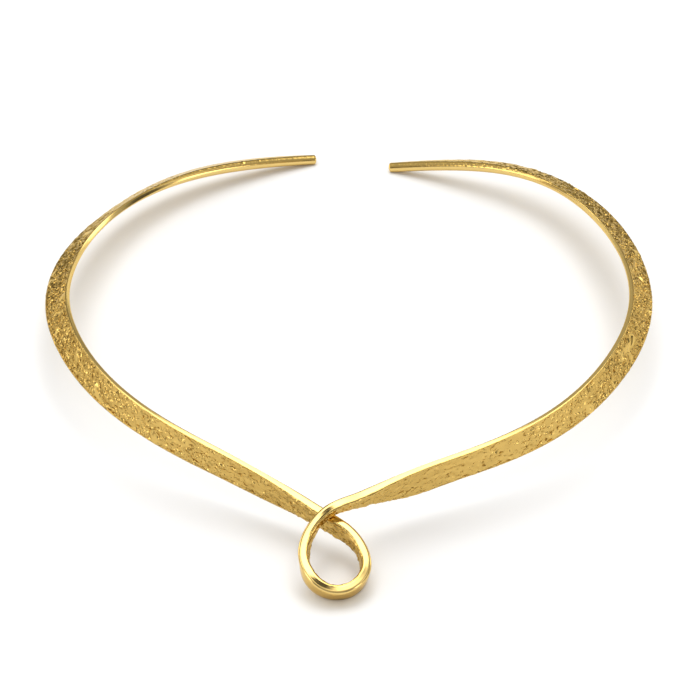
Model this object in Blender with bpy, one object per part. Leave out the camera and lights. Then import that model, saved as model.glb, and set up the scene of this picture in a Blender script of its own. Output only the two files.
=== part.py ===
"""Gold torc: one forged bar that loops over itself at the front and opens at the back.

The bar's middle line is laid out in plan from the front of the loop outwards. Each half then has its
own heights, face widths and leans. The section is a rectangle with rounded corners, and it tapers to a
round rod at each terminal. The torc is set down on its loop and its two terminals, where the bar has
small worn flats. Lengths are in metres, +Z is up, the loop is at -Y and the opening is at +Y.
"""

import math
from dataclasses import dataclass

import bmesh
import bpy
import numpy as np
from mathutils import Vector
from mathutils.bvhtree import BVHTree

MM = 0.001

# Length of the bar: half of the loop, then each arm
LOOP_RUN = 40.0 * MM
LEFT_ARM_RUN = 191.2 * MM
RIGHT_ARM_RUN = 193.0 * MM

# Width of the hammered face
ARM_FACE = 7.7 * MM
LOOP_FACE = 5.4 * MM
CROSSING_FACE = 3.2 * MM

# Thickness, which shows as the smooth edge along the top, and radius of its corners
ARM_EDGE = 1.5 * MM
LOOP_EDGE = 2.4 * MM
TERMINAL_ROD = 2.4 * MM
ARM_CORNER = 0.2 * ARM_EDGE
LOOP_CORNER = 0.28 * LOOP_EDGE
TERMINAL_CORNER = 0.45 * TERMINAL_ROD

# Heights of the bar's middle at the side of the ring, from which the arms fall both ways
SIDE_RISE = 16.2 * MM

# Rounding of the bar's two ends, clearance and wear
TERMINAL_ROUNDING = 0.45 * MM
CROSSING_GAP = 0.35 * MM
WORN_DEPTH = 0.2 * MM

# Distances between sections, and the steps that round each corner of a section
LOOP_STEP = 1.0 * MM
ARM_STEP = 1.9 * MM
PLAN_STEP = 0.25 * MM
CORNER_STEPS = 3
END_STEPS = 3

# Where the crossing is looked for, how far along the bar it is opened, and how its gap is measured
CROSSING_FROM = LOOP_RUN / 3
CROSSING_TO = 2 * LOOP_RUN
CROSSING_REACH = 0.45 * LOOP_RUN
PROBE_STEP = 0.25 * MM
PROBE_START = 2 * SIDE_RISE

# How far from the loop's front, and from each terminal, the bar can touch the table
LOOP_REST = LOOP_RUN / 2
TERMINAL_REST = LOOP_RUN / 4
SETTLING_PASSES = 4

GOLD_COLOUR = (0.86, 0.62, 0.24, 1.0)
GOLD_ROUGHNESS = 0.3


@dataclass(frozen=True)
class Stock:
    """Thickness and corner radius of the bar."""

    edge: float
    corner: float


@dataclass(frozen=True)
class Lie:
    """How one half of the bar lies at a station. A lean above 0 tips its top away from the hammered face."""

    height: float
    face: float
    lean: float


@dataclass(frozen=True)
class Station:
    """A place along both halves: 0 to 1 is round the loop, 1 to 2 is along the arm.

    The turns are the degrees that each half has bent in plan since the front of the loop.
    """

    along: float
    left_turn: float
    right_turn: float
    stock: Stock
    left: Lie
    right: Lie


LOOP_STOCK = Stock(LOOP_EDGE, LOOP_CORNER)
ARM_STOCK = Stock(ARM_EDGE, ARM_CORNER)
ROD_STOCK = Stock(TERMINAL_ROD, TERMINAL_CORNER)
FRONT = Lie(2.9 * MM, 1.1 * LOOP_FACE, 36)
STATIONS = (
    Station(0.0, 0, 0, LOOP_STOCK, FRONT, FRONT),
    Station(0.175, 62.3, 62.3, LOOP_STOCK, Lie(3.3 * MM, LOOP_FACE, 20), Lie(5.1 * MM, LOOP_FACE, 10)),
    Station(0.35, 110.3, 110.3, LOOP_STOCK, Lie(4.6 * MM, LOOP_FACE, -5), Lie(8.6 * MM, CROSSING_FACE, 1)),
    Station(0.525, 144.6, 144.6, LOOP_STOCK,
            Lie(6.6 * MM, 0.79 * ARM_FACE, -16), Lie(11.9 * MM, CROSSING_FACE, -23)),
    Station(0.75, 146.0, 146.0, LOOP_STOCK,
            Lie(8.0 * MM, 0.9 * ARM_FACE, -16), Lie(11.9 * MM, 0.6 * ARM_FACE, -20)),
    Station(1.0, 150.5, 150.5, ARM_STOCK, Lie(9.4 * MM, ARM_FACE, -10), Lie(11.7 * MM, 1.04 * ARM_FACE, -14)),
    Station(1.08, 152.0, 152.0, ARM_STOCK, Lie(12.0 * MM, ARM_FACE, -3), Lie(12.5 * MM, 0.97 * ARM_FACE, -6)),
    Station(1.18, 140.4, 140.4, ARM_STOCK,
            Lie(14.4 * MM, 0.98 * ARM_FACE, 6), Lie(13.6 * MM, 0.97 * ARM_FACE, 4)),
    Station(1.34, 111.8, 111.8, ARM_STOCK, Lie(SIDE_RISE, ARM_FACE, 25), Lie(SIDE_RISE, ARM_FACE, 21)),
    Station(1.52, 85.2, 83.1, ARM_STOCK,
            Lie(0.74 * SIDE_RISE, ARM_FACE, 50), Lie(0.89 * SIDE_RISE, ARM_FACE, 46)),
    Station(1.7, 59.6, 60.1, ARM_STOCK,
            Lie(0.46 * SIDE_RISE, 0.93 * ARM_FACE, 52), Lie(0.675 * SIDE_RISE, 0.93 * ARM_FACE, 64)),
    Station(1.855, 31.6, 25.5, ROD_STOCK,
            Lie(0.3 * SIDE_RISE, 0.69 * ARM_FACE, 62), Lie(0.47 * SIDE_RISE, 0.67 * ARM_FACE, 70)),
    Station(2.0, 17.0, 10.8, ROD_STOCK,
            Lie(0.5 * TERMINAL_ROD, TERMINAL_ROD, 70), Lie(0.5 * TERMINAL_ROD, TERMINAL_ROD, 70)),
)


def clear_scene():
    """Remove every object that the scene starts with."""
    for item in list(bpy.data.objects):
        bpy.data.objects.remove(item, do_unlink=True)


def smooth(stops, values, at):
    """Read a smooth curve through values at stops, with slopes shared between neighbouring stretches."""
    gaps = np.diff(stops)
    rates = np.diff(values) / gaps
    slopes = np.concatenate([rates[:1], np.empty(len(stops) - 2), rates[-1:]])
    slopes[1:-1] = (rates[:-1] * gaps[1:] + rates[1:] * gaps[:-1]) / (gaps[1:] + gaps[:-1])
    left = np.clip(np.searchsorted(stops, at, side="right") - 1, 0, len(stops) - 2)
    gap = gaps[left]
    share = (at - stops[left]) / gap
    rest = 1 - share
    ends = (1 + 2 * share) * rest**2 * values[left] + (3 - 2 * share) * share**2 * values[left + 1]
    bends = share * rest**2 * slopes[left] - share**2 * rest * slopes[left + 1]
    return ends + gap * bends


def run_of(along, arm_run):
    """Turn a station's place into a distance from the front of the loop."""
    return min(along, 1) * LOOP_RUN + max(along - 1, 0) * arm_run


class Bar:
    """The bar from the left terminal, at negative runs, over the loop's front to the right terminal."""

    def __init__(self):
        inner = STATIONS[1:]
        self.stops = np.array([-run_of(place.along, LEFT_ARM_RUN) for place in reversed(STATIONS)]
                              + [run_of(place.along, RIGHT_ARM_RUN) for place in inner])
        self.turns = self.both(lambda place: -place.left_turn, lambda place: place.right_turn)
        self.edges = self.both(lambda place: place.stock.edge, lambda place: place.stock.edge)
        self.corners = self.both(lambda place: place.stock.corner, lambda place: place.stock.corner)
        self.heights = self.both(lambda place: place.left.height, lambda place: place.right.height)
        self.faces = self.both(lambda place: place.left.face, lambda place: place.right.face)
        self.leans = self.both(lambda place: place.left.lean, lambda place: place.right.lean)

    @staticmethod
    def both(left, right):
        """Read one value at every station, from the left terminal to the right one."""
        return np.array([left(place) for place in reversed(STATIONS)]
                        + [right(place) for place in STATIONS[1:]], dtype=float)

    def section_runs(self):
        """Space the sections closely round the loop, wider on the arms, and finely at the rounded ends."""
        first, last = self.stops[0], self.stops[-1]
        end = TERMINAL_ROUNDING * np.sin(np.linspace(0, math.pi / 2, END_STEPS + 1))
        left = np.arange(-LOOP_RUN - ARM_STEP, first + TERMINAL_ROUNDING + ARM_STEP / 2, -ARM_STEP)[::-1]
        right = np.arange(LOOP_RUN + ARM_STEP, last - TERMINAL_ROUNDING - ARM_STEP / 2, ARM_STEP)
        loop = np.linspace(-LOOP_RUN, LOOP_RUN, 2 * round(LOOP_RUN / LOOP_STEP) + 1)
        first_end = first + TERMINAL_ROUNDING - end[::-1]
        last_end = last - TERMINAL_ROUNDING + end
        return np.concatenate([first_end, left, loop, right, last_end])

    def middle(self, runs):
        """Lay out the middle line in plan by adding up short steps, and lift it to its heights."""
        count = round((self.stops[-1] - self.stops[0]) / PLAN_STEP)
        fine = np.linspace(self.stops[0], self.stops[-1], count + 1)
        heading = math.pi - np.radians(smooth(self.stops, self.turns, fine))
        step = np.diff(fine)
        places = []
        for part in (np.cos(heading), np.sin(heading)):
            path = np.concatenate([[0], np.cumsum((part[1:] + part[:-1]) / 2 * step)])
            places.append(np.interp(runs, fine, path) - np.interp(0, fine, path))
        return np.stack(places + [smooth(self.stops, self.heights, runs)], axis=1)

    def sections(self, runs):
        """Place the outline of every section, as rows of points round the bar."""
        middle = self.middle(runs)
        along = np.gradient(middle, runs, axis=0)
        along /= np.linalg.norm(along, axis=1)[:, None]
        upright = np.array([0, 0, 1]) - along[:, 2:] * along
        upright /= np.linalg.norm(upright, axis=1)[:, None]
        side = np.cross(along, upright)
        lean = np.radians(smooth(self.stops, self.leans, runs))[:, None]
        top = np.cos(lean) * upright - np.sin(lean) * side
        front = np.cos(lean) * side + np.sin(lean) * upright
        face = smooth(self.stops, self.faces, runs)
        edge = smooth(self.stops, self.edges, runs)
        corner = smooth(self.stops, self.corners, runs)
        from_end = np.minimum(runs - runs[0], runs[-1] - runs)
        depth = np.clip(1 - from_end / TERMINAL_ROUNDING, 0, 1)
        inset = 2 * TERMINAL_ROUNDING * (1 - np.sqrt(1 - depth**2))
        corner *= 1 - inset / edge
        rows = []
        for index in range(len(runs)):
            outline = section_outline(face[index] - inset[index], edge[index] - inset[index], corner[index])
            rows.append(middle[index] + np.outer(outline[:, 0], top[index])
                        + np.outer(outline[:, 1], front[index]))
        return np.array(rows)


def section_outline(face, edge, radius):
    """Draw a rectangle with rounded corners: the face along the first axis, the edge along the second."""
    points = []
    for corner, (up, out) in enumerate(((1, 1), (-1, 1), (-1, -1), (1, -1))):
        for step in range(CORNER_STEPS + 1):
            angle = math.pi / 2 * (corner + step / CORNER_STEPS)
            points.append((up * (face / 2 - radius) + radius * math.cos(angle),
                           out * (edge / 2 - radius) + radius * math.sin(angle)))
    return np.array(points)


def height_hit(tree, place, upwards):
    """Find the lowest point of a surface seen from below, or the highest seen from above."""
    start = Vector((place[0], place[1], -PROBE_START if upwards else PROBE_START))
    hit = tree.ray_cast(start, Vector((0, 0, 1 if upwards else -1)))[0]
    return None if hit is None else hit.z


def strand_tree(rows):
    """Make a searchable surface of a run of sections."""
    around = rows.shape[1]
    quads = [(row * around + point, row * around + (point + 1) % around,
              (row + 1) * around + (point + 1) % around, (row + 1) * around + point)
             for row in range(len(rows) - 1) for point in range(around)]
    return BVHTree.FromPolygons([Vector(point) for point in rows.reshape(-1, 3)], quads)


def crossing_run(bar, runs):
    """Find how far from the loop's front the right strand passes over the left one."""
    plan = bar.middle(runs)[:, :2]
    left = np.nonzero((runs < -CROSSING_FROM) & (runs > -CROSSING_TO))[0]
    right = np.nonzero((runs > CROSSING_FROM) & (runs < CROSSING_TO))[0]
    spans = np.linalg.norm(plan[left][:, None] - plan[right][None], axis=2)
    near = np.unravel_index(spans.argmin(), spans.shape)
    return -runs[left[near[0]]], runs[right[near[1]]]


def open_crossing(bar, rows, runs):
    """Lift the right strand so that it clears the left one by the crossing gap."""
    under_run, over_run = crossing_run(bar, runs)
    under = rows[np.abs(runs + under_run) < CROSSING_REACH]
    over = rows[np.abs(runs - over_run) < CROSSING_REACH]
    trees = strand_tree(under), strand_tree(over)
    low = np.maximum(under.min(axis=(0, 1)), over.min(axis=(0, 1)))
    high = np.minimum(under.max(axis=(0, 1)), over.max(axis=(0, 1)))
    gaps = []
    for x in np.arange(low[0], high[0], PROBE_STEP):
        for y in np.arange(low[1], high[1], PROBE_STEP):
            top = height_hit(trees[0], (x, y), upwards=False)
            bottom = height_hit(trees[1], (x, y), upwards=True)
            if top is not None and bottom is not None:
                gaps.append(bottom - top)
    away = np.clip(np.abs(runs - over_run) / over_run, 0, 1)
    lift = (CROSSING_GAP - min(gaps)) * np.cos(away * math.pi / 2) ** 2
    rows[:, :, 2] += lift[:, None]


def set_down(rows, runs):
    """Tip and lower the torc until its loop and both terminals stand on the table, worn by the same depth."""
    zones = (runs < runs[0] + TERMINAL_REST, np.abs(runs) < LOOP_REST, runs > runs[-1] - TERMINAL_REST)
    for _ in range(SETTLING_PASSES):
        lowest = []
        for zone in zones:
            points = rows[zone].reshape(-1, 3)
            lowest.append(points[points[:, 2].argmin()])
        lowest = np.array(lowest)
        slope = np.linalg.solve(np.column_stack([lowest[:, :2], np.ones(3)]), lowest[:, 2])
        rows[:, :, 2] -= rows[:, :, 0] * slope[0] + rows[:, :, 1] * slope[1] + slope[2]
    rows[:, :, 2] -= WORN_DEPTH


def loft(rows):
    """Skin the sections with quads, close both ends and cut the worn flats at the height of the table."""
    mesh = bmesh.new()
    rings = [[mesh.verts.new(point) for point in row] for row in rows]
    around = len(rings[0])
    for near, far in zip(rings, rings[1:]):
        for point in range(around):
            after = (point + 1) % around
            mesh.faces.new((near[point], near[after], far[after], far[point]))
    mesh.faces.new(rings[0][::-1])
    mesh.faces.new(rings[-1])
    cut = bmesh.ops.bisect_plane(mesh, geom=mesh.verts[:] + mesh.edges[:] + mesh.faces[:],
                                 plane_co=(0, 0, 0), plane_no=(0, 0, -1), clear_outer=True)
    rim = [item for item in cut["geom_cut"] if isinstance(item, bmesh.types.BMEdge)]
    bmesh.ops.holes_fill(mesh, edges=rim, sides=0)
    bmesh.ops.recalc_face_normals(mesh, faces=mesh.faces)
    return mesh


def gold():
    """Polished, slightly worn gold."""
    material = bpy.data.materials.new("gold")
    material.use_nodes = True
    shader = material.node_tree.nodes["Principled BSDF"]
    shader.inputs["Base Color"].default_value = GOLD_COLOUR
    shader.inputs["Metallic"].default_value = 1.0
    shader.inputs["Roughness"].default_value = GOLD_ROUGHNESS
    return material


def torc():
    """Model the bar, stand it with the middle of its box over the origin, and name it."""
    bar = Bar()
    runs = bar.section_runs()
    rows = bar.sections(runs)
    open_crossing(bar, rows, runs)
    set_down(rows, runs)
    box = rows.reshape(-1, 3)
    centre = (box.min(axis=0) + box.max(axis=0)) / 2
    rows[:, :, :2] -= centre[:2]
    shape = loft(rows)
    data = bpy.data.meshes.new("torc")
    shape.to_mesh(data)
    shape.free()
    data.shade_smooth()
    data.materials.append(gold())
    return bpy.data.objects.new("torc", data)


def main():
    """Build the torc in a collection of its own."""
    clear_scene()
    collection = bpy.data.collections.new("gold torc")
    bpy.context.scene.collection.children.link(collection)
    collection.objects.link(torc())


main()
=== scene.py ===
"""Gold torc: the hammered outer face and the polished rest of its bar, on a white table under soft light.

The bar is drawn again along the solid's own middle line, with a fine grain. The crinkles, dents and pits of
the hammered face are cut inwards only, so the torc keeps the solid's form. Lengths are in metres, +Z is up,
the loop is at -Y and the opening is at +Y.
"""

import logging
import math
from collections.abc import Callable
from dataclasses import dataclass
from enum import Enum

import bmesh
import bpy
import numpy as np
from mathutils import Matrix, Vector, noise


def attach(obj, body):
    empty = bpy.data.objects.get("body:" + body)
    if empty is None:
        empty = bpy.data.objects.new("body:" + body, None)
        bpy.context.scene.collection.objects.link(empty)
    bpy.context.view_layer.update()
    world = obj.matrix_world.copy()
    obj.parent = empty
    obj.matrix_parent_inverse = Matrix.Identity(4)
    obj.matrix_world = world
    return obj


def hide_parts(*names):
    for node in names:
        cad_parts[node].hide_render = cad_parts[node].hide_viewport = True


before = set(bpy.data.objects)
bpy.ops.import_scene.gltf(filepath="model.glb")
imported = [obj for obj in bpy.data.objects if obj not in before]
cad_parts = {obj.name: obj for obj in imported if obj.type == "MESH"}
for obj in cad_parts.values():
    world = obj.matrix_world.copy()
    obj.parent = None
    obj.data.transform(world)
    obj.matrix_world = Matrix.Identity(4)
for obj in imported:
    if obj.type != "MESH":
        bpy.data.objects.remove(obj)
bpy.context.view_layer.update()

MM = 0.001
Colour = tuple[float, float, float, float]

log = logging.getLogger("gold torc")


class Surface(Enum):
    """The two ways in which the bar is finished, numbered as its material slots."""

    HAMMERED = 0
    POLISHED = 1


# The bar's form


@dataclass(frozen=True)
class Stock:
    """Thickness and corner radius of the bar."""

    edge: float
    corner: float


@dataclass(frozen=True)
class Lie:
    """How one half of the bar lies at a station. A lean above 0 tips its top away from the hammered face."""

    height: float
    face: float
    lean: float


@dataclass(frozen=True)
class Station:
    """A place along both halves: 0 to 1 is round the loop, 1 to 2 is along the arm.

    The turns are the degrees that each half has bent in plan since the front of the loop.
    """

    along: float
    left_turn: float
    right_turn: float
    stock: Stock
    left: Lie
    right: Lie


@dataclass(frozen=True)
class Course:
    """The bar at many places, one row each: its middle, its two cross axes and the size of its section."""

    middle: np.ndarray
    top: np.ndarray
    front: np.ndarray
    face: np.ndarray
    edge: np.ndarray
    corner: np.ndarray


def smooth(stops: np.ndarray, values: np.ndarray, at: np.ndarray) -> np.ndarray:
    """Read a smooth curve through values at stops, with slopes shared between neighbouring stretches.

    Args:
        stops: Rising places where the values are known.
        values: The value at each stop.
        at: The places to read.

    Returns:
        The curve's value at each place.
    """
    gaps = np.diff(stops)
    rates = np.diff(values) / gaps
    slopes = np.concatenate([rates[:1], np.empty(len(stops) - 2), rates[-1:]])
    slopes[1:-1] = (rates[:-1] * gaps[1:] + rates[1:] * gaps[:-1]) / (gaps[1:] + gaps[:-1])
    left = np.clip(np.searchsorted(stops, at, side="right") - 1, 0, len(stops) - 2)
    gap = gaps[left]
    share = (at - stops[left]) / gap
    rest = 1 - share
    ends = (1 + 2 * share) * rest**2 * values[left] + (3 - 2 * share) * share**2 * values[left + 1]
    bends = share * rest**2 * slopes[left] - share**2 * rest * slopes[left + 1]
    return ends + gap * bends


def ease(low: float, high: float, value: np.ndarray) -> np.ndarray:
    """Rise smoothly from 0 to 1 while value goes from low to high."""
    share = np.clip((value - low) / (high - low), 0, 1)
    return share * share * (3 - 2 * share)


@dataclass(frozen=True)
class Bar:
    """The forged bar from the left terminal, at negative runs, round the loop to the right terminal."""

    loop_run: float = 40.0 * MM
    left_arm_run: float = 191.2 * MM
    right_arm_run: float = 193.0 * MM
    arm_face: float = 7.7 * MM
    loop_face: float = 5.4 * MM
    crossing_face: float = 3.2 * MM
    arm_edge: float = 1.5 * MM
    loop_edge: float = 2.4 * MM
    terminal_rod: float = 2.4 * MM
    arm_corner_share: float = 0.2
    loop_corner_share: float = 0.28
    rod_corner_share: float = 0.45
    side_rise: float = 16.2 * MM
    terminal_rounding: float = 0.45 * MM
    crossing_at: float = 23.0 * MM
    crossing_lift: float = 0.214 * MM
    loop_rest: float = 20.0 * MM
    terminal_rest: float = 10.0 * MM
    worn_depth: float = 0.2 * MM
    plan_step: float = 0.25 * MM
    settling_passes: int = 4

    def stations(self) -> tuple[Station, ...]:
        """List the places where the bar's bend, height, width and lean are known.

        Returns:
            The stations, from the loop's front outwards.
        """
        face, loop, rise, rod = self.arm_face, self.loop_face, self.side_rise, self.terminal_rod
        loop_stock = Stock(self.loop_edge, self.loop_corner_share * self.loop_edge)
        arm_stock = Stock(self.arm_edge, self.arm_corner_share * self.arm_edge)
        rod_stock = Stock(rod, self.rod_corner_share * rod)
        front = Lie(2.9 * MM, 1.1 * loop, 36)
        tip = Lie(0.5 * rod, rod, 70)
        return (
            Station(0.0, 0, 0, loop_stock, front, front),
            Station(0.175, 62.3, 62.3, loop_stock, Lie(3.3 * MM, loop, 20), Lie(5.1 * MM, loop, 10)),
            Station(0.35, 110.3, 110.3, loop_stock,
                    Lie(4.6 * MM, loop, -5), Lie(8.6 * MM, self.crossing_face, 1)),
            Station(0.525, 144.6, 144.6, loop_stock,
                    Lie(6.6 * MM, 0.79 * face, -16), Lie(11.9 * MM, self.crossing_face, -23)),
            Station(0.75, 146.0, 146.0, loop_stock,
                    Lie(8.0 * MM, 0.9 * face, -16), Lie(11.9 * MM, 0.6 * face, -20)),
            Station(1.0, 150.5, 150.5, arm_stock,
                    Lie(9.4 * MM, face, -10), Lie(11.7 * MM, 1.04 * face, -14)),
            Station(1.08, 152.0, 152.0, arm_stock, Lie(12.0 * MM, face, -3), Lie(12.5 * MM, 0.97 * face, -6)),
            Station(1.18, 140.4, 140.4, arm_stock,
                    Lie(14.4 * MM, 0.98 * face, 6), Lie(13.6 * MM, 0.97 * face, 4)),
            Station(1.34, 111.8, 111.8, arm_stock, Lie(rise, face, 25), Lie(rise, face, 21)),
            Station(1.52, 85.2, 83.1, arm_stock, Lie(0.74 * rise, face, 50), Lie(0.89 * rise, face, 46)),
            Station(1.7, 59.6, 60.1, arm_stock,
                    Lie(0.46 * rise, 0.93 * face, 52), Lie(0.675 * rise, 0.93 * face, 64)),
            Station(1.855, 31.6, 25.5, rod_stock,
                    Lie(0.3 * rise, 0.69 * face, 62), Lie(0.47 * rise, 0.67 * face, 70)),
            Station(2.0, 17.0, 10.8, rod_stock, tip, tip),
        )

    def runs_at(self, along: list[float]) -> np.ndarray:
        """Turn places along both halves into runs.

        Args:
            along: Places from the loop's front outwards, as the stations give them.

        Returns:
            The runs of all places on the left half and then the right half, rising.
        """
        loop = np.minimum(along, 1) * self.loop_run
        beyond = np.maximum(np.array(along) - 1, 0)
        left = loop + beyond * self.left_arm_run
        right = loop + beyond * self.right_arm_run
        return np.concatenate([-left[::-1], right[1:]])

    def stops(self) -> np.ndarray:
        """Give every station's run, from the left terminal to the right one."""
        return self.runs_at([place.along for place in self.stations()])

    def read(self, runs: np.ndarray, left: Callable[[Station], float],
             right: Callable[[Station], float]) -> np.ndarray:
        """Read one of the stations' values along the bar.

        Args:
            runs: Distances along the bar from the loop's front.
            left: Gives a station's value on the left half.
            right: Gives a station's value on the right half.

        Returns:
            The value at each run.
        """
        places = self.stations()
        values = [left(place) for place in places[::-1]] + [right(place) for place in places[1:]]
        return smooth(self.stops(), np.array(values, dtype=float), runs)

    def middle(self, runs: np.ndarray) -> np.ndarray:
        """Lay out the middle line in plan by adding up short steps, and lift it to its heights.

        Args:
            runs: Distances along the bar from the loop's front, rising.

        Returns:
            One point for each run.
        """
        stops = self.stops()
        fine = np.linspace(stops[0], stops[-1], round((stops[-1] - stops[0]) / self.plan_step) + 1)
        turns = self.read(fine, lambda place: -place.left_turn, lambda place: place.right_turn)
        heights = self.read(runs, lambda place: place.left.height, lambda place: place.right.height)
        heading = math.pi - np.radians(turns)
        step = np.diff(fine)
        columns = []
        for part in (np.cos(heading), np.sin(heading)):
            path = np.concatenate([[0], np.cumsum((part[1:] + part[:-1]) / 2 * step)])
            columns.append(np.interp(runs, fine, path) - np.interp(0, fine, path))
        return np.stack(columns + [heights], axis=1)

    def course(self, runs: np.ndarray) -> Course:
        """Find the bar's middle, cross axes, width and thickness.

        Args:
            runs: Distances along the bar from the loop's front, rising.

        Returns:
            The bar at those runs. Its width and thickness draw in at the rounded terminals.
        """
        middle = self.middle(runs)
        along = np.gradient(middle, runs, axis=0)
        along /= np.linalg.norm(along, axis=1)[:, None]
        upright = np.array([0, 0, 1]) - along[:, 2:] * along
        upright /= np.linalg.norm(upright, axis=1)[:, None]
        side = np.cross(along, upright)
        leans = self.read(runs, lambda place: place.left.lean, lambda place: place.right.lean)
        face = self.read(runs, lambda place: place.left.face, lambda place: place.right.face)
        edge = self.read(runs, lambda place: place.stock.edge, lambda place: place.stock.edge)
        corner = self.read(runs, lambda place: place.stock.corner, lambda place: place.stock.corner)
        lean = np.radians(leans)[:, None]
        from_end = np.minimum(runs - runs[0], runs[-1] - runs)
        depth = np.clip(1 - from_end / self.terminal_rounding, 0, 1)
        inset = 2 * self.terminal_rounding * (1 - np.sqrt(1 - depth**2))
        return Course(
            middle=middle,
            top=np.cos(lean) * upright - np.sin(lean) * side,
            front=np.cos(lean) * side + np.sin(lean) * upright,
            face=face - inset,
            edge=edge - inset,
            corner=corner * (1 - inset / edge),
        )

    def settle(self, rows: np.ndarray, runs: np.ndarray) -> None:
        """Open the crossing, then stand the bar on its loop and both terminals, centred over the origin.

        Args:
            rows: Points of every section, moved in place.
            runs: The run of each section.
        """
        away = np.clip(np.abs(runs - self.crossing_at) / self.crossing_at, 0, 1)
        rows[:, :, 2] += (self.crossing_lift * np.cos(away * math.pi / 2) ** 2)[:, None]
        zones = (runs < runs[0] + self.terminal_rest, np.abs(runs) < self.loop_rest,
                 runs > runs[-1] - self.terminal_rest)
        for _ in range(self.settling_passes):
            zone_points = [rows[zone].reshape(-1, 3) for zone in zones]
            lowest = np.array([points[points[:, 2].argmin()] for points in zone_points])
            slope = np.linalg.solve(np.column_stack([lowest[:, :2], np.ones(3)]), lowest[:, 2])
            rows[:, :, 2] -= rows[:, :, 0] * slope[0] + rows[:, :, 1] * slope[1] + slope[2]
        rows[:, :, 2] -= self.worn_depth
        rows[:, :, :2] -= (rows[:, :, :2].min(axis=(0, 1)) + rows[:, :, :2].max(axis=(0, 1))) / 2


@dataclass(frozen=True)
class Outline:
    """The bar's cross-section: a rectangle with round corners, read from the foot of the smooth back face.

    Each corner is -1 or 1 on the section's top axis and on its front axis, and has its steps. It is followed
    by the straight side that it leads to: back face, top edge, hammered face, foot.
    """

    corners: tuple[tuple[int, int, int], ...] = ((-1, -1, 3), (1, -1, 4), (1, 1, 4), (-1, 1, 3))
    straights: tuple[int, ...] = (3, 4, 32, 3)
    first_angle: float = math.pi
    hammered_corner: int = 2

    def points(self, course: Course) -> tuple[np.ndarray, np.ndarray]:
        """Draw the outline for many sections at once.

        Args:
            course: The bar at those sections.

        Returns:
            The points and their outward directions, on the section's top axis and front axis.
        """
        face, edge, radius = course.face, course.edge, course.corner
        places, facing = [], []
        for number, (up, out, steps) in enumerate(self.corners):
            centre = np.stack([up * (face / 2 - radius), out * (edge / 2 - radius)], axis=1)
            start = self.first_angle + math.pi / 2 * number
            for angle in start + np.linspace(0, math.pi / 2, steps + 1):
                way = np.array([math.cos(angle), math.sin(angle)])
                places.append(centre + radius[:, None] * way)
                facing.append(way)
            corner_end, way = places[-1], facing[-1]
            up, out, _ = self.corners[(number + 1) % len(self.corners)]
            centre = np.stack([up * (face / 2 - radius), out * (edge / 2 - radius)], axis=1)
            straight_end = centre + radius[:, None] * way
            for share in np.linspace(0, 1, self.straights[number] + 1)[1:-1]:
                places.append(corner_end + (straight_end - corner_end) * share)
                facing.append(way)
        return np.stack(places, axis=1), np.array(facing)

    def hammered_points(self) -> slice:
        """Find the points of the outline that lie on the hammered face and its two corners.

        Returns:
            Where they stand in the outline's row of points.
        """
        before = sum(steps + 1 for _, _, steps in self.corners[:self.hammered_corner])
        before += sum(self.straights[:self.hammered_corner]) - self.hammered_corner
        count = self.corners[self.hammered_corner][2] + 1 + self.straights[self.hammered_corner] - 1
        return slice(before, before + count + self.corners[self.hammered_corner + 1][2] + 1)


# The worked surface


@dataclass(frozen=True)
class Touch:
    """How strongly the hammered face is crinkled, pitted and darkened, each from 0 to 1. The darkening stands
    for dirt and painted shade in its hollows.
    """

    crinkle: float
    pits: float
    dirt_and_shade: float


@dataclass(frozen=True)
class Work:
    """The touch of each half at one place, which is given as a station's is."""

    along: float
    left: Touch
    right: Touch


@dataclass(frozen=True)
class Skin:
    """Every point of the bar's surface, ring by ring, and how darkened and how crinkled it is there. The
    darkening is dirt and painted shade in the hollows.
    """

    points: np.ndarray
    dirt_and_shade: np.ndarray
    worked: np.ndarray


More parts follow.
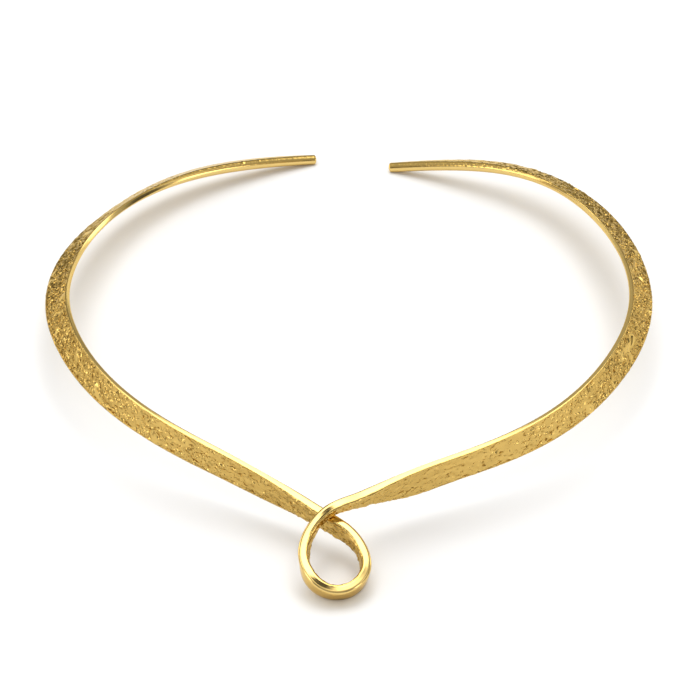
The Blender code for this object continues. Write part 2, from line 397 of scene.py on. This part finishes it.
@dataclass(frozen=True)
class Hammering:
    """Relief of the hammered face: sunk patches with raised folds in them, broad dents and small pits."""

    fold_size: float = 2.2 * MM
    fold_width: float = 0.16
    fine_size: float = 1.4 * MM
    fine_share: float = 0.8
    break_size: float = 0.9 * MM
    break_low: float = -0.25
    break_high: float = 0.15
    patch_size: float = 3.0 * MM
    patch_low: float = -0.6
    patch_high: float = -0.2
    dent_size: float = 1.5 * MM
    dent_range: float = 0.5
    dent_depth: float = 0.32 * MM
    crinkle_depth: float = 0.32 * MM
    pit_spacing: float = 1.5 * MM
    pit_radius: float = 0.3
    pit_floor: float = 0.35
    pit_chance: float = 0.5
    pit_shuffle: float = 7.3
    pit_depth: float = 0.3 * MM
    warp_size: float = 1.7 * MM
    warp_share: float = 0.6
    margin: float = 0.9 * MM
    foot_margin: float = 0.35 * MM
    noise_seed: int = 7
    # Each touch gives crinkle, pits, and darkening by dirt and painted shade.
    works: tuple[Work, ...] = (
        Work(0.0, Touch(0.3, 0.2, 0.2), Touch(0.3, 0.2, 0.2)),
        Work(0.35, Touch(0.7, 0.5, 0.4), Touch(0.4, 0.2, 0.3)),
        Work(0.75, Touch(0.8, 0.4, 0.25), Touch(0.5, 0.8, 0.15)),
        Work(1.08, Touch(1.0, 0.3, 0.15), Touch(0.65, 1.0, 0.1)),
        Work(1.18, Touch(1.0, 0.2, 0.15), Touch(0.8, 0.8, 0.1)),
        Work(1.34, Touch(1.0, 0.1, 0.65), Touch(1.0, 0.2, 0.45)),
        Work(1.52, Touch(1.0, 0.1, 0.6), Touch(0.9, 0.2, 0.6)),
        Work(1.7, Touch(0.3, 0.3, 0.6), Touch(0.75, 0.5, 0.6)),
        Work(1.855, Touch(0.05, 0.3, 0.5), Touch(0.2, 0.3, 0.4)),
        Work(2.0, Touch(0.0, 0.0, 0.0), Touch(0.0, 0.0, 0.0)),
    )

    def read(self, bar: Bar, runs: np.ndarray, value: Callable[[Touch], float]) -> np.ndarray:
        """Read one of the works' values along the bar.

        Args:
            bar: The bar that the works are placed on.
            runs: The run of each section.
            value: Gives the value of a touch.

        Returns:
            The value at each run.
        """
        stops = bar.runs_at([work.along for work in self.works])
        left = [value(work.left) for work in self.works[::-1]]
        right = [value(work.right) for work in self.works[1:]]
        return np.interp(runs, stops, left + right)

    def fields(self, points: np.ndarray) -> dict[str, np.ndarray]:
        """Read the noise that the relief is made of.

        Args:
            points: Places on the smooth face, one row each.

        Returns:
            Named fields with one value for each place.
        """
        noise.seed_set(self.noise_seed)
        names = ("fold", "fine", "gap", "patch", "dent", "pit", "luck")
        values = {name: np.empty(len(points)) for name in names}
        for index, point in enumerate(points):
            place = Vector(point)
            warp = noise.noise_vector(place / self.warp_size) * self.warp_share
            values["fold"][index] = noise.noise(place / self.fold_size + warp)
            values["fine"][index] = noise.noise(place / self.fine_size + warp)
            values["gap"][index] = noise.noise(place / self.break_size)
            values["patch"][index] = noise.noise(place / self.patch_size)
            values["dent"][index] = noise.noise(place / self.dent_size + warp)
            gaps, cells = noise.voronoi(place / self.pit_spacing)
            values["pit"][index] = gaps[0]
            values["luck"][index] = noise.cell(cells[0] * self.pit_shuffle)
        return values

    def depth(self, points: np.ndarray, from_top: np.ndarray, from_foot: np.ndarray, crinkle: np.ndarray,
              pits: np.ndarray, dirt_and_shade_strength: np.ndarray) -> tuple[np.ndarray, np.ndarray, np.ndarray]:
        """Work out how far the surface is sunk.

        Args:
            points: Places on the smooth face, one row each.
            from_top: Distance of each place from the top of the face.
            from_foot: Distance of each place from the foot of the face.
            crinkle: Strength of the crinkles and dents there.
            pits: Share of the pits that are there.
            dirt_and_shade_strength: How much the sunk parts are darkened, as dirt and as painted shade.

        Returns:
            The depth of each place in metres, never below 0, how much dirt and painted shade darken it, in
            sunk folds and pits, and how crinkled it is, each from 0 to 1.
        """
        field_of = self.fields(points)
        fold = 1 - ease(0, self.fold_width, np.abs(field_of["fold"]))
        fine = 1 - ease(0, self.fold_width, np.abs(field_of["fine"]))
        unbroken = ease(self.break_low, self.break_high, field_of["gap"])
        raised = np.maximum(fold * unbroken, self.fine_share * fine * (1 - unbroken))
        patch = ease(self.patch_low, self.patch_high, field_of["patch"])
        inner = ease(0, self.margin, from_top) * ease(0, self.foot_margin, from_foot)
        sunk = crinkle * patch * (1 - raised)
        dents = self.dent_depth * crinkle * ease(-self.dent_range, self.dent_range, field_of["dent"])
        chosen = (field_of["luck"] + 1) / 2 < pits * self.pit_chance
        wall = ease(self.pit_floor * self.pit_radius, self.pit_radius, field_of["pit"])
        hole = np.where(chosen, 1 - wall, 0)
        depth = inner * (self.crinkle_depth * sunk + dents + self.pit_depth * hole)
        # The second value darkens sunk folds and pits, as dirt and painted shade.
        return depth, inner * np.maximum(dirt_and_shade_strength * sunk, hole), inner * crinkle * patch


# Finishes

CLOUD_DETAIL = 3.0
MARK_DETAIL = 1.0


def gold_tone_group() -> bpy.types.NodeTree:
    """Build the colour and polish of worked gold, which both finishes share.

    Returns:
        A shader node group. It darkens soiled hollows, varies the tone in clouds, and puts out colour and
        roughness.
    """
    group = bpy.data.node_groups.new("gold tone", "ShaderNodeTree")
    for name, kind in (("Tone", "NodeSocketColor"), ("Dirt And Shade Tone", "NodeSocketColor"),
                       ("Dirt And Shade", "NodeSocketFloat"), ("Polish", "NodeSocketFloat"),
                       ("Cloud Size", "NodeSocketFloat"), ("Cloud Amount", "NodeSocketFloat")):
        group.interface.new_socket(name, in_out="INPUT", socket_type=kind)
    group.interface.new_socket("Colour", in_out="OUTPUT", socket_type="NodeSocketColor")
    group.interface.new_socket("Roughness", in_out="OUTPUT", socket_type="NodeSocketFloat")
    nodes, links = group.nodes, group.links
    given, result = nodes.new("NodeGroupInput"), nodes.new("NodeGroupOutput")
    place = nodes.new("ShaderNodeTexCoord")
    clouds = nodes.new("ShaderNodeTexNoise")
    clouds.inputs["Detail"].default_value = CLOUD_DETAIL
    links.new(place.outputs["Object"], clouds.inputs["Vector"])
    links.new(given.outputs["Cloud Size"], clouds.inputs["Scale"])
    swing = nodes.new("ShaderNodeMath")
    swing.operation = "MULTIPLY_ADD"
    swing.inputs[1].default_value = 2.0
    swing.inputs[2].default_value = -1.0
    links.new(clouds.outputs["Fac"], swing.inputs[0])
    amount = nodes.new("ShaderNodeMath")
    amount.operation = "MULTIPLY"
    links.new(swing.outputs[0], amount.inputs[0])
    links.new(given.outputs["Cloud Amount"], amount.inputs[1])
    # Mix in the dark tone of dirt and painted shade where the hollows are.
    mix = nodes.new("ShaderNodeMix")
    mix.data_type = "RGBA"
    links.new(given.outputs["Dirt And Shade"], mix.inputs["Factor"])
    links.new(given.outputs["Tone"], mix.inputs["A"])
    links.new(given.outputs["Dirt And Shade Tone"], mix.inputs["B"])
    bright = nodes.new("ShaderNodeHueSaturation")
    value = nodes.new("ShaderNodeMath")
    value.operation = "ADD"
    value.inputs[1].default_value = 1.0
    links.new(amount.outputs[0], value.inputs[0])
    links.new(value.outputs[0], bright.inputs["Value"])
    links.new(mix.outputs["Result"], bright.inputs["Color"])
    links.new(bright.outputs["Color"], result.inputs["Colour"])
    rough = nodes.new("ShaderNodeMath")
    rough.operation = "ADD"
    rough.use_clamp = True
    links.new(given.outputs["Polish"], rough.inputs[0])
    links.new(amount.outputs[0], rough.inputs[1])
    links.new(rough.outputs[0], result.inputs["Roughness"])
    return group


@dataclass(frozen=True)
class GoldFinish:
    """Gold with its own tone, polish and fine surface marks.

    The smooth share is how much of the marks' height is left where the face isn't crinkled. The second tone
    is the dark colour of dirt and painted shade in hollows and pits.
    """

    name: str
    tone: Colour
    dirt_and_shade_tone: Colour
    polish: float
    cloud_size: float
    cloud_amount: float
    mark_size: float
    mark_height: float
    smooth_share: float
    rim: Colour = (0.97, 0.87, 0.62, 1)

    def material(self, tones: bpy.types.NodeTree) -> bpy.types.Material:
        """Make the material.

        Args:
            tones: The node group that both gold finishes share.

        Returns:
            The material, which reads the piece's own "soil" and "worked" attributes.
        """
        material = bpy.data.materials.new(self.name)
        material.use_nodes = True
        nodes, links = material.node_tree.nodes, material.node_tree.links
        shader = nodes["Principled BSDF"]
        shader.inputs["Metallic"].default_value = 1.0
        shader.inputs["Specular Tint"].default_value = self.rim
        # This attribute darkens hollows with dirt and painted shade.
        dirt_and_shade = nodes.new("ShaderNodeAttribute")
        dirt_and_shade.attribute_name = "dirt_and_shade"
        tone = nodes.new("ShaderNodeGroup")
        tone.node_tree = tones
        tone.inputs["Tone"].default_value = self.tone
        tone.inputs["Dirt And Shade Tone"].default_value = self.dirt_and_shade_tone
        tone.inputs["Polish"].default_value = self.polish
        tone.inputs["Cloud Size"].default_value = 1 / self.cloud_size
        tone.inputs["Cloud Amount"].default_value = self.cloud_amount
        links.new(dirt_and_shade.outputs["Fac"], tone.inputs["Dirt And Shade"])
        links.new(tone.outputs["Colour"], shader.inputs["Base Color"])
        links.new(tone.outputs["Roughness"], shader.inputs["Roughness"])
        place = nodes.new("ShaderNodeTexCoord")
        marks = nodes.new("ShaderNodeTexNoise")
        marks.inputs["Scale"].default_value = 1 / self.mark_size
        marks.inputs["Detail"].default_value = MARK_DETAIL
        links.new(place.outputs["Object"], marks.inputs["Vector"])
        worked = nodes.new("ShaderNodeAttribute")
        worked.attribute_name = "worked"
        reach = nodes.new("ShaderNodeMapRange")
        reach.inputs["To Min"].default_value = self.smooth_share
        links.new(worked.outputs["Fac"], reach.inputs["Value"])
        height = nodes.new("ShaderNodeMath")
        height.operation = "MULTIPLY"
        links.new(marks.outputs["Fac"], height.inputs[0])
        links.new(reach.outputs["Result"], height.inputs[1])
        bump = nodes.new("ShaderNodeBump")
        bump.inputs["Distance"].default_value = self.mark_height
        links.new(height.outputs["Value"], bump.inputs["Height"])
        links.new(bump.outputs["Normal"], shader.inputs["Normal"])
        return material


@dataclass(frozen=True)
class TableFinish:
    """Matt white of the table."""

    shade: float = 0.9
    roughness: float = 0.9

    def material(self) -> bpy.types.Material:
        """Make the material.

        Returns:
            The material, the same all over.
        """
        material = bpy.data.materials.new("white table")
        material.use_nodes = True
        shader = material.node_tree.nodes["Principled BSDF"]
        shader.inputs["Base Color"].default_value = (self.shade, self.shade, self.shade, 1)
        shader.inputs["Roughness"].default_value = self.roughness
        shader.inputs["Specular IOR Level"].default_value = 0.0
        return material


# Pieces


@dataclass
class Torc:
    """The whole torc: one bar with a hammered outer face and polished edges, back and terminals."""

    bar: Bar = Bar()
    outline: Outline = Outline()
    hammering: Hammering = Hammering()
    ring_step: float = 0.29 * MM
    end_rings: int = 6
    clearance: float = 0.03 * MM
    seam_reach: float = 0.001 * MM
    # Each finish's second tone is the dark colour of dirt and painted shade in hollows and pits.
    hammered: GoldFinish = GoldFinish(
        name="hammered gold", tone=(0.68, 0.46, 0.135, 1), dirt_and_shade_tone=(0.26, 0.13, 0.015, 1), polish=0.14,
        cloud_size=3.0 * MM, cloud_amount=0.08, mark_size=0.9 * MM, mark_height=0.5 * MM, smooth_share=0.08)
    polished: GoldFinish = GoldFinish(
        name="polished gold", tone=(0.77, 0.545, 0.19, 1), dirt_and_shade_tone=(0.3, 0.17, 0.03, 1), polish=0.14,
        cloud_size=8.0 * MM, cloud_amount=0.04, mark_size=0.9 * MM, mark_height=0.006 * MM, smooth_share=1.0)

    def ring_runs(self) -> np.ndarray:
        """Space the rings evenly, and finely where the terminals are rounded.

        Returns:
            The run of each ring, from the left terminal to the right one.
        """
        stops = self.bar.stops()
        rounding = self.bar.terminal_rounding
        start, end = stops[0] + rounding, stops[-1] - rounding
        turn = rounding * (1 - np.sin(np.linspace(0, math.pi / 2, self.end_rings + 1)))
        body = np.linspace(start, end, round((end - start) / self.ring_step) + 1)
        return np.concatenate([stops[0] + turn[::-1][:-1], body, (stops[-1] - turn)[1:]])

    def skin(self) -> Skin:
        """Place every point of the bar's surface, and cut the hammering into its outer face.

        Returns:
            The bar's surface, everywhere a little inside the solid's.
        """
        runs = self.ring_runs()
        course = self.bar.course(runs)
        flat, facing = self.outline.points(course)
        rows = (course.middle[:, None] + flat[:, :, :1] * course.top[:, None]
                + flat[:, :, 1:] * course.front[:, None])
        outwards = facing[None, :, :1] * course.top[:, None] + facing[None, :, 1:] * course.front[:, None]
        self.bar.settle(rows, runs)
        worked = self.outline.hammered_points()
        across = np.linalg.norm(np.diff(rows[:, worked], axis=1), axis=2)
        from_top = np.concatenate([np.zeros((len(runs), 1)), np.cumsum(across, axis=1)], axis=1)
        shape = from_top.shape
        from_foot = from_top[:, -1:] - from_top
        crinkle = self.hammering.read(self.bar, runs, lambda touch: touch.crinkle)
        pits = self.hammering.read(self.bar, runs, lambda touch: touch.pits)
        # Darkening of sunk folds and pits by dirt and painted shade.
        dirt_and_shade_strength = self.hammering.read(self.bar, runs, lambda touch: touch.dirt_and_shade)
        strengths = (np.broadcast_to(value[:, None], shape).ravel() for value in (crinkle, pits, dirt_and_shade_strength))
        sunk, dirt_and_shade_share, struck = self.hammering.depth(rows[:, worked].reshape(-1, 3), from_top.ravel(),
                                                    from_foot.ravel(), *strengths)
        depth, dirt_and_shade, crinkled = np.zeros((3, *rows.shape[:2]))
        depth[:, worked] = sunk.reshape(shape)
        dirt_and_shade[:, worked] = dirt_and_shade_share.reshape(shape)
        crinkled[:, worked] = struck.reshape(shape)
        rows -= outwards * (depth + self.clearance)[:, :, None]
        rows[:, :, 2] = np.maximum(rows[:, :, 2], 0)
        return Skin(rows, dirt_and_shade, crinkled)

    def mesh(self, skin: Skin) -> bpy.types.Mesh:
        """Wrap a grid round the bar, close its seam and both ends, and give each face its finish.

        Args:
            skin: The bar's surface.

        Returns:
            The torc's mesh, with the "soil" and "worked" attributes that both finishes read. The first is
            dirt and painted shade in the hollows.
        """
        rings, around = skin.dirt_and_shade.shape
        half = 0.5
        shape = bmesh.new()
        shape.loops.layers.uv.new("bar")
        bmesh.ops.create_grid(shape, x_segments=rings - 1, y_segments=around, size=half, calc_uvs=True)
        # The first attribute is dirt and painted shade in hollows, the second how crinkled the face is.
        shape.verts.layers.float.new("dirt_and_shade")
        shape.verts.layers.float.new("worked")
        dirt_and_shade, struck = shape.verts.layers.float["dirt_and_shade"], shape.verts.layers.float["worked"]
        worked = self.outline.hammered_points()
        seam = []
        columns = {}
        for vert in shape.verts:
            ring = round((vert.co.x + half) * (rings - 1))
            column = round((vert.co.y + half) * around)
            columns[vert] = column
            if column in (0, around):
                seam.append(vert)
            vert[dirt_and_shade] = skin.dirt_and_shade[ring, column % around]
            vert[struck] = skin.worked[ring, column % around]
            vert.co = skin.points[ring, column % around]
        for face in shape.faces:
            face.smooth = True
            column = min(columns[vert] for vert in face.verts)
            hammered = worked.start <= column < worked.stop - 1
            face.material_index = (Surface.HAMMERED if hammered else Surface.POLISHED).value
        bmesh.ops.remove_doubles(shape, verts=seam, dist=self.seam_reach)
        rims = [edge for edge in shape.edges if edge.is_boundary]
        ends = bmesh.ops.holes_fill(shape, edges=rims, sides=0)["faces"]
        for face in ends:
            face.material_index = Surface.POLISHED.value
        bmesh.ops.poke(shape, faces=ends)
        bmesh.ops.recalc_face_normals(shape, faces=shape.faces)
        data = bpy.data.meshes.new("torc")
        shape.to_mesh(data)
        shape.free()
        return data

    def build(self) -> bpy.types.Object:
        """Build the torc and put it in the place of its solid.

        Returns:
            The finished piece, at the origin and unturned.
        """
        data = self.mesh(self.skin())
        tones = gold_tone_group()
        for surface in Surface:
            finish = self.hammered if surface is Surface.HAMMERED else self.polished
            data.materials.append(finish.material(tones))
        piece = bpy.data.objects.new("hammered_torc", data)
        bpy.context.scene.collection.objects.link(piece)
        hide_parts("torc")
        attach(piece, "root")
        return piece


@dataclass
class Table:
    """The plain white table that the torc lies on."""

    width: float = 3.0
    finish: TableFinish = TableFinish()

    def build(self) -> bpy.types.Object:
        """Build the table's top at the height of the torc's resting spots.

        Returns:
            The table, a plain white plane under the torc.
        """
        shape = bmesh.new()
        bmesh.ops.create_grid(shape, x_segments=1, y_segments=1, size=self.width / 2)
        data = bpy.data.meshes.new("table")
        shape.to_mesh(data)
        shape.free()
        data.materials.append(self.finish.material())
        table = bpy.data.objects.new("table", data)
        bpy.context.scene.collection.objects.link(table)
        return table


# Light and view


@dataclass(frozen=True)
class Patch:
    """A round soft-edged patch of the surroundings. Azimuth 0 is the viewer's side and 90 is +X."""

    azimuth: float
    elevation: float
    inner: float
    outer: float
    brightness: float

    def towards(self) -> tuple[float, float, float]:
        """Give the direction from the torc to the patch's middle."""
        turn, rise = math.radians(self.azimuth), math.radians(self.elevation)
        return math.sin(turn) * math.cos(rise), -math.cos(turn) * math.cos(rise), math.sin(rise)


@dataclass(frozen=True)
class Tent:
    """Cloth all round the torc, bright overhead, with bright and dark patches that show in the gold."""

    cloth: float = 0.52
    patches: tuple[Patch, ...] = (
        Patch(azimuth=0, elevation=90, inner=10, outer=38, brightness=3.6),
        Patch(azimuth=180, elevation=56, inner=6, outer=20, brightness=3.2),
        Patch(azimuth=0, elevation=76, inner=9, outer=16, brightness=0.08),
        Patch(azimuth=-70, elevation=13, inner=7, outer=18, brightness=3.4),
        Patch(azimuth=-122, elevation=15, inner=5, outer=12, brightness=3.6),
        Patch(azimuth=70, elevation=12, inner=6, outer=15, brightness=3.0),
        Patch(azimuth=134, elevation=12, inner=5, outer=12, brightness=3.4),
        Patch(azimuth=-96, elevation=34, inner=6, outer=16, brightness=2.4),
        Patch(azimuth=96, elevation=36, inner=6, outer=16, brightness=1.2),
        Patch(azimuth=-97, elevation=10, inner=4, outer=12, brightness=0.1),
        Patch(azimuth=-146, elevation=20, inner=4, outer=12, brightness=0.12),
        Patch(azimuth=-40, elevation=16, inner=4, outer=14, brightness=0.12),
        Patch(azimuth=40, elevation=16, inner=4, outer=14, brightness=0.15),
        Patch(azimuth=102, elevation=12, inner=6, outer=16, brightness=0.1),
        Patch(azimuth=150, elevation=20, inner=4, outer=12, brightness=0.1),
        Patch(azimuth=180, elevation=14, inner=6, outer=16, brightness=0.1),
    )

    def put_up(self) -> bpy.types.World:
        """Make the surroundings, which give all the light.

        Returns:
            A world whose brightness depends on direction only. A later patch covers an earlier one.
        """
        world = bpy.data.worlds.new("tent")
        world.use_nodes = True
        nodes, links = world.node_tree.nodes, world.node_tree.links
        nodes["Background"].inputs["Color"].default_value = (1, 1, 1, 1)
        brightness = nodes.new("ShaderNodeValue")
        brightness.outputs[0].default_value = self.cloth
        light = brightness.outputs[0]
        way = nodes.new("ShaderNodeTexCoord")
        for patch in self.patches:
            near = nodes.new("ShaderNodeVectorMath")
            near.operation = "DOT_PRODUCT"
            near.inputs[1].default_value = patch.towards()
            links.new(way.outputs["Generated"], near.inputs[0])
            cover = nodes.new("ShaderNodeMapRange")
            cover.interpolation_type = "SMOOTHSTEP"
            cover.inputs["From Min"].default_value = math.cos(math.radians(patch.outer))
            cover.inputs["From Max"].default_value = math.cos(math.radians(patch.inner))
            links.new(near.outputs["Value"], cover.inputs["Value"])
            mix = nodes.new("ShaderNodeMix")
            links.new(cover.outputs["Result"], mix.inputs["Factor"])
            links.new(light, mix.inputs["A"])
            mix.inputs["B"].default_value = patch.brightness
            light = mix.outputs["Result"]
        links.new(light, nodes["Background"].inputs["Strength"])
        return world


@dataclass
class Studio:
    """A tent that gives soft light, and the photograph's viewpoint."""

    tent: Tent = Tent()
    azimuth: float = 1.96
    elevation: float = 37.0
    distance: float = 0.9
    lens: float = 199.7
    sensor: float = 36.0
    sight: float = 10.0
    target: tuple[float, float, float] = (0.551 * MM, 7.027 * MM, 0.0)

    def light(self) -> None:
        """Put up the tent."""
        bpy.context.scene.world = self.tent.put_up()

    def view(self) -> None:
        """Place the camera, and show colours as they are."""
        azimuth, elevation = math.radians(self.azimuth), math.radians(self.elevation)
        away = Vector((math.sin(azimuth) * math.cos(elevation), -math.cos(azimuth) * math.cos(elevation),
                       math.sin(elevation)))
        lens = bpy.data.cameras.new("camera")
        lens.sensor_width = self.sensor
        lens.lens = self.lens
        lens.clip_end = self.sight
        camera = bpy.data.objects.new("camera", lens)
        camera.location = Vector(self.target) + away * self.distance
        camera.rotation_euler = (-away).to_track_quat("-Z", "Y").to_euler()
        scene = bpy.context.scene
        scene.collection.objects.link(camera)
        scene.camera = camera
        scene.view_settings.view_transform = "Standard"


def main() -> None:
    """Build the torc, its table and its light, in that order."""
    logging.basicConfig(level=logging.INFO, format="%(name)s: %(message)s")
    torc = Torc().build()
    log.info("%s has %d faces", torc.name, len(torc.data.polygons))
    table = Table().build()
    log.info("%s is %.1f m wide", table.name, table.dimensions.x)
    studio = Studio()
    studio.light()
    studio.view()
    log.info("light and camera are set")


if __name__ == "__main__":
    main()
